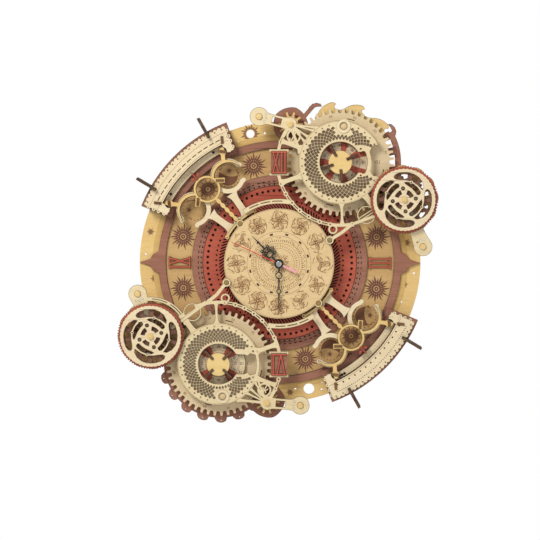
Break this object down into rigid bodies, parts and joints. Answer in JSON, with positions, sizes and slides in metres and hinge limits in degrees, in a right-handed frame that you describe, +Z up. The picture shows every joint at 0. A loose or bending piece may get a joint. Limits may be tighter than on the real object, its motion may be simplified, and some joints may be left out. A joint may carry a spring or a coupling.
{
  "type": "plywood wall clock",
  "caption": "Round laser-cut plywood wall clock with a central dial, two geared calendar clusters with turning knobs, outer scales and moon rings.",
  "frame": {"origin": "on the wall plane, on the axis of the hands", "axes": "+Y out of the back plate's back, into the wall; the dial faces -Y; +Z up; +X to the right of someone facing the dial"},
  "size_m": [0.3854, 0.0338, 0.3862],
  "materials": {
    "cream": "bare plywood, laser-cut edges",
    "mauve": "stained plywood",
    "red": "stained plywood",
    "honey": "stained plywood",
    "burnt": "laser-burnt plywood edge",
    "taupe": "stained plywood with printed sectors",
    "black": "black enamel",
    "redm": "red enamel",
    "brass": "turned brass",
    "plastic": "moulded plastic",
    "cell": "printed cell jacket"
  },
  "bodies": {
    "clock_frame": {"back_plate": "honey", "outer_ring": "mauve", "inner_band": "mauve", "red_ring": "red", "numeral_nine": "red", "numeral_three": "red", "numeral_twelve": "red", "numeral_six": "red", "dial_plate": "cream", "dial_post_1": "cream", "dial_post_2": "cream", "dial_post_3": "cream", "dial_post_4": "cream", "movement_case": "plastic", "movement_bush": "brass", "battery": "cell", "upper_cog_plate": "mauve", "upper_cover": "cream", "upper_gear_axle": "honey", "upper_idler_pin": "honey", "upper_knob_pin": "honey", "lower_cog_plate": "mauve", "lower_cover": "cream", "lower_gear_axle": "honey", "lower_idler_pin": "honey", "lower_knob_pin": "honey", "upper_hook_plate": "honey", "left_arc_back": "mauve", "left_arc_tier": "cream", "left_arc_scale": "cream", "left_arc_stick_1": "burnt", "left_arc_stick_2": "burnt", "left_moon_base": "cream", "left_moon_frame": "honey", "right_arc_back": "mauve", "right_arc_tier": "cream", "right_arc_scale": "cream", "right_arc_stick_1": "burnt", "right_arc_stick_2": "burnt", "right_moon_base": "cream", "right_moon_frame": "honey"},
    "hour_hand": {"hour_hand": "black"},
    "minute_hand": {"minute_hand": "black"},
    "second_hand": {"second_hand": "redm"},
    "set_knob": {"set_knob": "plastic"},
    "upper_month": {"upper_month_gear": "cream"},
    "upper_date": {"upper_date_wheel": "taupe", "upper_date_cap": "honey"},
    "upper_idler": {"upper_idler_gear": "honey"},
    "upper_knob": {"upper_knob_drive": "honey", "upper_knob_ring": "red", "upper_knob_face": "cream"},
    "lower_month": {"lower_month_gear": "cream"},
    "lower_date": {"lower_date_wheel": "taupe", "lower_date_cap": "honey"},
    "lower_idler": {"lower_idler_gear": "honey"},
    "lower_knob": {"lower_knob_drive": "honey", "lower_knob_ring": "red", "lower_knob_face": "cream"}
  },
  "joints": [
    {"name": "minute_turn", "type": "hinge", "parent": "clock_frame", "child": "minute_hand", "pos_m": [0, 0, 0], "axis": [0, 1, 0], "continuous": true},
    {"name": "hour_turn", "type": "hinge", "parent": "clock_frame", "child": "hour_hand", "pos_m": [0, 0, 0], "axis": [0, 1, 0], "continuous": true},
    {"name": "second_turn", "type": "hinge", "parent": "clock_frame", "child": "second_hand", "pos_m": [0, 0, 0], "axis": [0, 1, 0], "continuous": true},
    {"name": "set_turn", "type": "hinge", "parent": "clock_frame", "child": "set_knob", "pos_m": [0.012, 0, 0.014], "axis": [0, 1, 0], "continuous": true},
    {"name": "upper_month_turn", "type": "hinge", "parent": "clock_frame", "child": "upper_month", "pos_m": [0.0726, 0, 0.1206], "axis": [0, 1, 0], "continuous": true},
    {"name": "upper_date_turn", "type": "hinge", "parent": "clock_frame", "child": "upper_date", "pos_m": [0.0726, 0, 0.1206], "axis": [0, 1, 0], "continuous": true},
    {"name": "upper_idler_turn", "type": "hinge", "parent": "clock_frame", "child": "upper_idler", "pos_m": [0.01304, 0, 0.16564], "axis": [0, 1, 0], "continuous": true},
    {"name": "upper_knob_turn", "type": "hinge", "parent": "clock_frame", "child": "upper_knob", "pos_m": [0.14819, 0, 0.07643], "axis": [0, 1, 0], "continuous": true},
    {"name": "lower_month_turn", "type": "hinge", "parent": "clock_frame", "child": "lower_month", "pos_m": [-0.0726, 0, -0.1206], "axis": [0, 1, 0], "continuous": true},
    {"name": "lower_date_turn", "type": "hinge", "parent": "clock_frame", "child": "lower_date", "pos_m": [-0.0726, 0, -0.1206], "axis": [0, 1, 0], "continuous": true},
    {"name": "lower_idler_turn", "type": "hinge", "parent": "clock_frame", "child": "lower_idler", "pos_m": [-0.01424, 0, -0.16719], "axis": [0, 1, 0], "continuous": true},
    {"name": "lower_knob_turn", "type": "hinge", "parent": "clock_frame", "child": "lower_knob", "pos_m": [-0.15337, 0, -0.08681], "axis": [0, 1, 0], "continuous": true}
  ],
  "couplings": [
    {"joint": "hour_turn", "follows": "minute_turn", "ratio": 0.083333},
    {"joint": "second_turn", "follows": "minute_turn", "ratio": 60},
    {"joint": "set_turn", "follows": "minute_turn", "ratio": -3},
    {"joint": "upper_idler_turn", "follows": "upper_month_turn", "ratio": -4.8},
    {"joint": "upper_knob_turn", "follows": "upper_month_turn", "ratio": -2.4},
    {"joint": "lower_idler_turn", "follows": "lower_month_turn", "ratio": -4.8},
    {"joint": "lower_knob_turn", "follows": "lower_month_turn", "ratio": -2.4}
  ]
}
